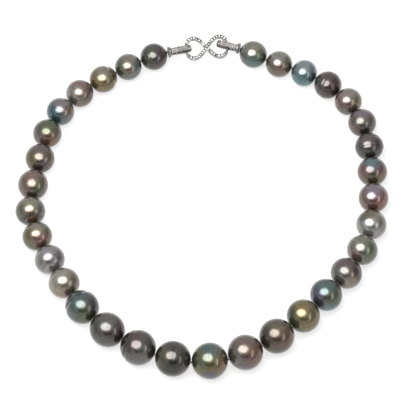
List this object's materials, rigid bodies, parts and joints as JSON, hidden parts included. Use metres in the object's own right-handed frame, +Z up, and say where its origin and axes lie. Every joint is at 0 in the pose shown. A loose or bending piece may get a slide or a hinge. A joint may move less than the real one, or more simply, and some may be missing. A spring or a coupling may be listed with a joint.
{
  "type": "pearl necklace",
  "caption": "Graduated strand of dark round pearls knotted on silk, closed in a loop by a small pave figure-eight clasp with a hinged gate and two end links.",
  "frame": {"origin": "bottom centre of the bounding box; the plane z = 0 is the surface the strand lies on", "axes": "+Z up off the surface it lies on, +Y towards the clasp, +X to the right with the clasp at the far side"},
  "size_m": [0.1492, 0.159, 0.0148],
  "materials": {
    "pearl_green": "polished",
    "pearl_olive": "polished",
    "pearl_silver": "polished",
    "pearl_blue": "polished",
    "pearl_copper": "polished",
    "pearl_grey": "polished",
    "pearl_aubergine": "polished",
    "pearl_black": "polished",
    "white_metal": "polished",
    "stone": "cut",
    "silk": "matt"
  },
  "bodies": {
    "pearl_01": {"pearl_01": "pearl_green"},
    "pearl_02": {"pearl_02": "pearl_green"},
    "pearl_03": {"pearl_03": "pearl_olive"},
    "pearl_04": {"pearl_04": "pearl_silver"},
    "pearl_05": {"pearl_05": "pearl_blue"},
    "pearl_06": {"pearl_06": "pearl_copper"},
    "pearl_07": {"pearl_07": "pearl_grey"},
    "pearl_08": {"pearl_08": "pearl_copper"},
    "pearl_09": {"pearl_09": "pearl_green"},
    "pearl_10": {"pearl_10": "pearl_grey"},
    "pearl_11": {"pearl_11": "pearl_silver"},
    "pearl_12": {"pearl_12": "pearl_silver"},
    "pearl_13": {"pearl_13": "pearl_green"},
    "pearl_14": {"pearl_14": "pearl_aubergine"},
    "pearl_15": {"pearl_15": "pearl_black"},
    "pearl_16": {"pearl_16": "pearl_black"},
    "pearl_17": {"pearl_17": "pearl_green"},
    "pearl_18": {"pearl_18": "pearl_aubergine"},
    "pearl_19": {"pearl_19": "pearl_copper"},
    "pearl_20": {"pearl_20": "pearl_olive"},
    "pearl_21": {"pearl_21": "pearl_blue"},
    "pearl_22": {"pearl_22": "pearl_aubergine"},
    "pearl_23": {"pearl_23": "pearl_grey"},
    "pearl_24": {"pearl_24": "pearl_silver"},
    "pearl_25": {"pearl_25": "pearl_copper"},
    "pearl_26": {"pearl_26": "pearl_olive"},
    "pearl_27": {"pearl_27": "pearl_grey"},
    "pearl_28": {"pearl_28": "pearl_aubergine"},
    "pearl_29": {"pearl_29": "pearl_copper"},
    "pearl_30": {"pearl_30": "pearl_aubergine"},
    "pearl_31": {"pearl_31": "pearl_blue"},
    "pearl_32": {"pearl_32": "pearl_olive"},
    "pearl_33": {"pearl_33": "pearl_green"},
    "left_end": {"left_cup": "white_metal", "left_link": "white_metal", "left_stones": "stone", "left_tie": "silk"},
    "right_end": {"right_cup": "white_metal", "right_link": "white_metal", "right_stones": "stone", "right_tie": "silk"},
    "figure_eight": {"eight_frame": "white_metal", "left_end_wire": "white_metal", "right_end_wire": "white_metal", "eight_stones": "stone", "gate_pin": "white_metal"},
    "gate": {"gate": "white_metal", "gate_stones": "stone"}
  },
  "joints": [
    {"name": "knot_17_18", "type": "hinge", "parent": "pearl_17", "child": "pearl_18", "pos_m": [0.01058, -0.071, 0.00739], "axis": [0, 0, 1], "range_deg": [-8, 8]},
    {"name": "knot_18_19", "type": "hinge", "parent": "pearl_18", "child": "pearl_19", "pos_m": [0.02391, -0.06473, 0.00723], "axis": [0, 0, 1], "range_deg": [-8, 8]},
    {"name": "knot_19_20", "type": "hinge", "parent": "pearl_19", "child": "pearl_20", "pos_m": [0.03559, -0.05586, 0.00703], "axis": [0, 0, 1], "range_deg": [-8, 8]},
    {"name": "knot_20_21", "type": "hinge", "parent": "pearl_20", "child": "pearl_21", "pos_m": [0.04514, -0.04608, 0.0068], "axis": [0, 0, 1], "range_deg": [-8, 8]},
    {"name": "knot_21_22", "type": "hinge", "parent": "pearl_21", "child": "pearl_22", "pos_m": [0.05379, -0.03629, 0.00662], "axis": [0, 0, 1], "range_deg": [-8.2, 8.2]},
    {"name": "knot_22_23", "type": "hinge", "parent": "pearl_22", "child": "pearl_23", "pos_m": [0.06134, -0.02603, 0.00643], "axis": [0, 0, 1], "range_deg": [-8.3, 8.3]},
    {"name": "knot_23_24", "type": "hinge", "parent": "pearl_23", "child": "pearl_24", "pos_m": [0.06665, -0.01474, 0.00626], "axis": [0, 0, 1], "range_deg": [-8.5, 8.5]},
    {"name": "knot_24_25", "type": "hinge", "parent": "pearl_24", "child": "pearl_25", "pos_m": [0.06872, -0.00247, 0.00615], "axis": [0, 0, 1], "range_deg": [-8.6, 8.6]},
    {"name": "knot_25_26", "type": "hinge", "parent": "pearl_25", "child": "pearl_26", "pos_m": [0.06849, 0.00993, 0.00609], "axis": [0, 0, 1], "range_deg": [-8.1, 8.1]},
    {"name": "knot_26_27", "type": "hinge", "parent": "pearl_26", "child": "pearl_27", "pos_m": [0.06787, 0.02191, 0.00598], "axis": [0, 0, 1], "range_deg": [-7.7, 7.7]},
    {"name": "knot_27_28", "type": "hinge", "parent": "pearl_27", "child": "pearl_28", "pos_m": [0.06628, 0.03329, 0.00583], "axis": [0, 0, 1], "range_deg": [-7.5, 7.5]},
    {"name": "knot_28_29", "type": "hinge", "parent": "pearl_28", "child": "pearl_29", "pos_m": [0.06226, 0.04422, 0.00572], "axis": [0, 0, 1], "range_deg": [-3.9, 3.9]},
    {"name": "knot_29_30", "type": "hinge", "parent": "pearl_29", "child": "pearl_30", "pos_m": [0.05526, 0.05308, 0.0057], "axis": [0, 0, 1], "range_deg": [-3.9, 3.9]},
    {"name": "knot_30_31", "type": "hinge", "parent": "pearl_30", "child": "pearl_31", "pos_m": [0.04597, 0.05978, 0.00562], "axis": [0, 0, 1], "range_deg": [-7.8, 7.8]},
    {"name": "knot_31_32", "type": "hinge", "parent": "pearl_31", "child": "pearl_32", "pos_m": [0.03622, 0.06432, 0.00547], "axis": [0, 0, 1], "range_deg": [-7.8, 7.8]},
    {"name": "knot_32_33", "type": "hinge", "parent": "pearl_32", "child": "pearl_33", "pos_m": [0.02582, 0.06824, 0.0055], "axis": [0, 0, 1], "range_deg": [-8.2, 8.2]},
    {"name": "knot_33_right_end", "type": "hinge", "parent": "pearl_33", "child": "right_end", "pos_m": [0.01542, 0.07342, 0.00554], "axis": [0, 0, 1], "range_deg": [-4, 4]},
    {"name": "knot_16_17", "type": "hinge", "parent": "pearl_17", "child": "pearl_16", "pos_m": [-0.00435, -0.07253, 0.00741], "axis": [0, 0, -1], "range_deg": [-8, 8]},
    {"name": "knot_15_16", "type": "hinge", "parent": "pearl_16", "child": "pearl_15", "pos_m": [-0.01874, -0.06897, 0.0073], "axis": [0, 0, -1], "range_deg": [-8, 8]},
    {"name": "knot_14_15", "type": "hinge", "parent": "pearl_15", "child": "pearl_14", "pos_m": [-0.03198, -0.06221, 0.00716], "axis": [0, 0, -1], "range_deg": [-8, 8]},
    {"name": "knot_13_14", "type": "hinge", "parent": "pearl_14", "child": "pearl_13", "pos_m": [-0.0433, -0.05247, 0.00695], "axis": [0, 0, -1], "range_deg": [-8, 8]},
    {"name": "knot_12_13", "type": "hinge", "parent": "pearl_13", "child": "pearl_12", "pos_m": [-0.05211, -0.04121, 0.00665], "axis": [0, 0, -1], "range_deg": [-7.9, 7.9]},
    {"name": "knot_11_12", "type": "hinge", "parent": "pearl_12", "child": "pearl_11", "pos_m": [-0.05787, -0.03007, 0.00633], "axis": [0, 0, -1], "range_deg": [-8, 8]},
    {"name": "knot_10_11", "type": "hinge", "parent": "pearl_11", "child": "pearl_10", "pos_m": [-0.06366, -0.01951, 0.00618], "axis": [0, 0, -1], "range_deg": [-8.2, 8.2]},
    {"name": "knot_09_10", "type": "hinge", "parent": "pearl_10", "child": "pearl_09", "pos_m": [-0.06794, -0.00845, 0.00612], "axis": [0, 0, -1], "range_deg": [-8.1, 8.1]},
    {"name": "knot_08_09", "type": "hinge", "parent": "pearl_09", "child": "pearl_08", "pos_m": [-0.06927, 0.00363, 0.00612], "axis": [0, 0, -1], "range_deg": [-7.5, 7.5]},
    {"name": "knot_07_08", "type": "hinge", "parent": "pearl_08", "child": "pearl_07", "pos_m": [-0.06598, 0.01603, 0.00606], "axis": [0, 0, -1], "range_deg": [-7.7, 7.7]},
    {"name": "knot_06_07", "type": "hinge", "parent": "pearl_07", "child": "pearl_06", "pos_m": [-0.0638, 0.0281, 0.00593], "axis": [0, 0, -1], "range_deg": [-7.6, 7.6]},
    {"name": "knot_05_06", "type": "hinge", "parent": "pearl_06", "child": "pearl_05", "pos_m": [-0.06029, 0.03941, 0.00579], "axis": [0, 0, -1], "range_deg": [-3.9, 3.9]},
    {"name": "knot_04_05", "type": "hinge", "parent": "pearl_05", "child": "pearl_04", "pos_m": [-0.05342, 0.04863, 0.00567], "axis": [0, 0, -1], "range_deg": [-3.9, 3.9]},
    {"name": "knot_03_04", "type": "hinge", "parent": "pearl_04", "child": "pearl_03", "pos_m": [-0.04477, 0.05635, 0.00559], "axis": [0, 0, -1], "range_deg": [-7.4, 7.4]},
    {"name": "knot_02_03", "type": "hinge", "parent": "pearl_03", "child": "pearl_02", "pos_m": [-0.0346, 0.06217, 0.0055], "axis": [0, 0, -1], "range_deg": [-7.4, 7.4]},
    {"name": "knot_01_02", "type": "hinge", "parent": "pearl_02", "child": "pearl_01", "pos_m": [-0.02472, 0.06773, 0.0055], "axis": [0, 0, -1], "range_deg": [-7.9, 7.9]},
    {"name": "knot_01_left_end", "type": "hinge", "parent": "pearl_01", "child": "left_end", "pos_m": [-0.01405, 0.07172, 0.00554], "axis": [0, 0, -1], "range_deg": [-4.1, 4.1]},
    {"name": "left_link_on_figure_eight", "type": "hinge", "parent": "left_end", "child": "figure_eight", "pos_m": [-0.00662, 0.07366, 0.00489], "axis": [0, 0, -1], "range_deg": [-4.1, 4.1]},
    {"name": "gate_hinge", "type": "hinge", "parent": "figure_eight", "child": "gate", "pos_m": [0.00065, 0.07565, 0.00525], "axis": [-0.0235, 0.2578, -0.9659], "range_deg": [0, 10]}
  ],
  "couplings": [
    {"joint": "knot_21_22", "follows": "knot_13_14", "ratio": -1.0133},
    {"joint": "knot_22_23", "follows": "knot_14_15", "ratio": -1.024},
    {"joint": "knot_23_24", "follows": "knot_15_16", "ratio": -1.0533},
    {"joint": "knot_24_25", "follows": "knot_16_17", "ratio": -1.0575},
    {"joint": "knot_25_26", "follows": "knot_17_18", "ratio": -0.9963},
    {"joint": "knot_26_27", "follows": "knot_18_19", "ratio": -0.95314},
    {"joint": "knot_27_28", "follows": "knot_19_20", "ratio": -0.92417},
    {"joint": "knot_28_29", "follows": "knot_20_21", "ratio": -0.46881},
    {"joint": "knot_29_30", "follows": "knot_20_21", "ratio": -0.46881},
    {"joint": "knot_30_31", "follows": "knot_13_14", "ratio": 0.95866},
    {"joint": "knot_31_32", "follows": "knot_14_15", "ratio": 0.96304},
    {"joint": "knot_32_33", "follows": "knot_15_16", "ratio": 1.0071},
    {"joint": "knot_33_right_end", "follows": "knot_16_17", "ratio": 0.49312},
    {"joint": "knot_12_13", "follows": "knot_20_21", "ratio": -0.97584},
    {"joint": "knot_11_12", "follows": "knot_19_20", "ratio": -0.99029},
    {"joint": "knot_10_11", "follows": "knot_18_19", "ratio": -1.0177},
    {"joint": "knot_09_10", "follows": "knot_17_18", "ratio": -1.0002},
    {"joint": "knot_08_09", "follows": "knot_16_17", "ratio": -0.9287},
    {"joint": "knot_07_08", "follows": "knot_15_16", "ratio": -0.95386},
    {"joint": "knot_06_07", "follows": "knot_14_15", "ratio": -0.939},
    {"joint": "knot_05_06", "follows": "knot_13_14", "ratio": -0.47266},
    {"joint": "knot_04_05", "follows": "knot_13_14", "ratio": -0.47266},
    {"joint": "knot_03_04", "follows": "knot_20_21", "ratio": 0.91346},
    {"joint": "knot_02_03", "follows": "knot_19_20", "ratio": 0.91446},
    {"joint": "knot_01_02", "follows": "knot_18_19", "ratio": 0.97087},
    {"joint": "knot_01_left_end", "follows": "knot_17_18", "ratio": 0.49823},
    {"joint": "left_link_on_figure_eight", "follows": "knot_17_18", "ratio": 0.49823}
  ]
}
